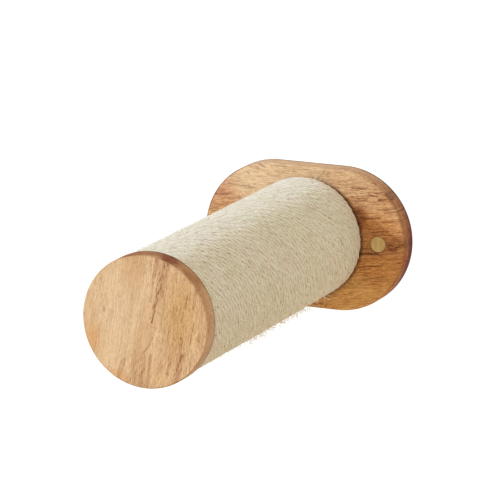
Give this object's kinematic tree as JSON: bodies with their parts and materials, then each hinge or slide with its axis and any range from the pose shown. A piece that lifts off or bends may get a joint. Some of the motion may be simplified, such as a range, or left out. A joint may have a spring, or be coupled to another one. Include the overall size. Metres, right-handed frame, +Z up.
{
  "type": "cat wall step",
  "caption": "Sisal-wound post with a round wooden end cap, standing straight out of a wooden wall plate with round ends; its screw holes are hidden by pull-out plugs.",
  "frame": {"origin": "middle of the wall plate's back face, on the wall's surface", "axes": "+Z up, +X right seen from the front, +Y into the wall; the post stands out along -Y"},
  "size_m": [0.15, 0.278, 0.1],
  "materials": {
    "plate_wood": "clear satin lacquer on rubberwood, grain along the plate",
    "cap_wood": "clear satin lacquer on rubberwood, grain across the disc",
    "plug_wood": "bare sanded wood",
    "core_wood": "bare turned wood, hidden under the cord",
    "sisal": "bare twisted sisal cord, fuzzy",
    "zinc_steel": "bright zinc plate",
    "insert_metal": "bare cast metal"
  },
  "bodies": {
    "step": {"wall_plate": "plate_wood", "post_core": "core_wood", "end_cap": "cap_wood", "sisal_rope": "sisal", "core_bolt_upper": "zinc_steel", "core_bolt_lower": "zinc_steel", "core_insert_upper": "insert_metal", "core_insert_lower": "insert_metal", "cap_insert": "insert_metal", "cap_hanger_bolt": "zinc_steel"},
    "plug_left": {"screw_plug_left": "plug_wood"},
    "plug_right": {"screw_plug_right": "plug_wood"}
  },
  "joints": [
    {"name": "screw_plug_left_pull", "type": "slide", "parent": "step", "child": "plug_left", "axis": [0, -1, 0], "range_m": [0, 0.016]},
    {"name": "screw_plug_right_pull", "type": "slide", "parent": "step", "child": "plug_right", "axis": [0, -1, 0], "range_m": [0, 0.016]}
  ]
}
